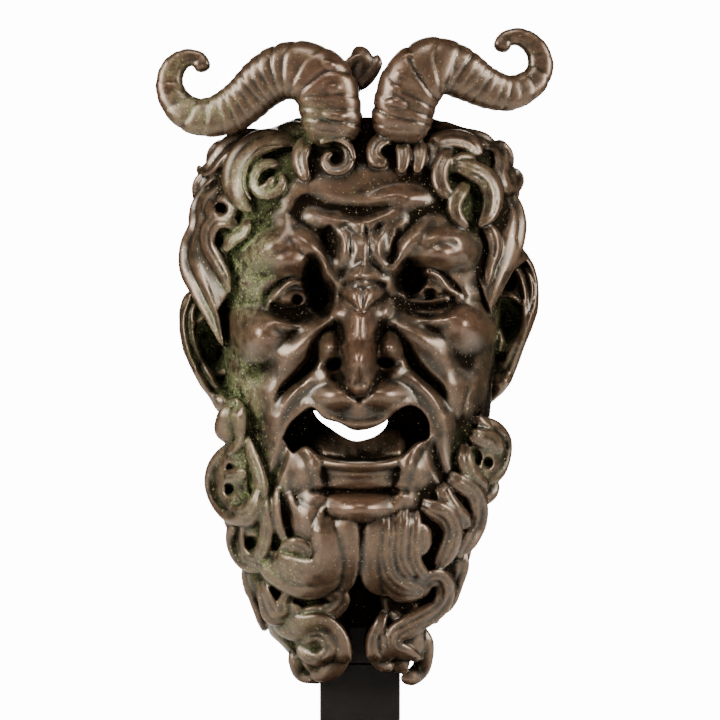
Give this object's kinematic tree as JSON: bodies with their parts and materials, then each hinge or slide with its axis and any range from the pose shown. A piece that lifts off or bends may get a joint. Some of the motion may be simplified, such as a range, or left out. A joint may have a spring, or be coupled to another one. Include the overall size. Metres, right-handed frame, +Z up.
{
  "type": "satyr fountain mask",
  "caption": "Horned satyr's face cast as a hollow mask with curled hair, a forked beard and an open spouting mouth, held by a cradle on a square post and a plate foot.",
  "frame": {"origin": "centre of the foot's underside, on the floor", "axes": "+Z up through the post to the horns, -Y is the way the face looks, +X is to the viewer's right"},
  "size_m": [0.2593, 0.19, 0.5183],
  "materials": {
    "mask_bronze": "dark brown patinated bronze, rubbed bright on the heights, green in the hollows",
    "cradle_steel": "matte black paint on steel",
    "stand_black": "satin black paint"
  },
  "bodies": {
    "root": {"mask": "mask_bronze", "cradle": "cradle_steel", "stand_post": "stand_black", "stand_foot": "stand_black"}
  },
  "joints": []
}
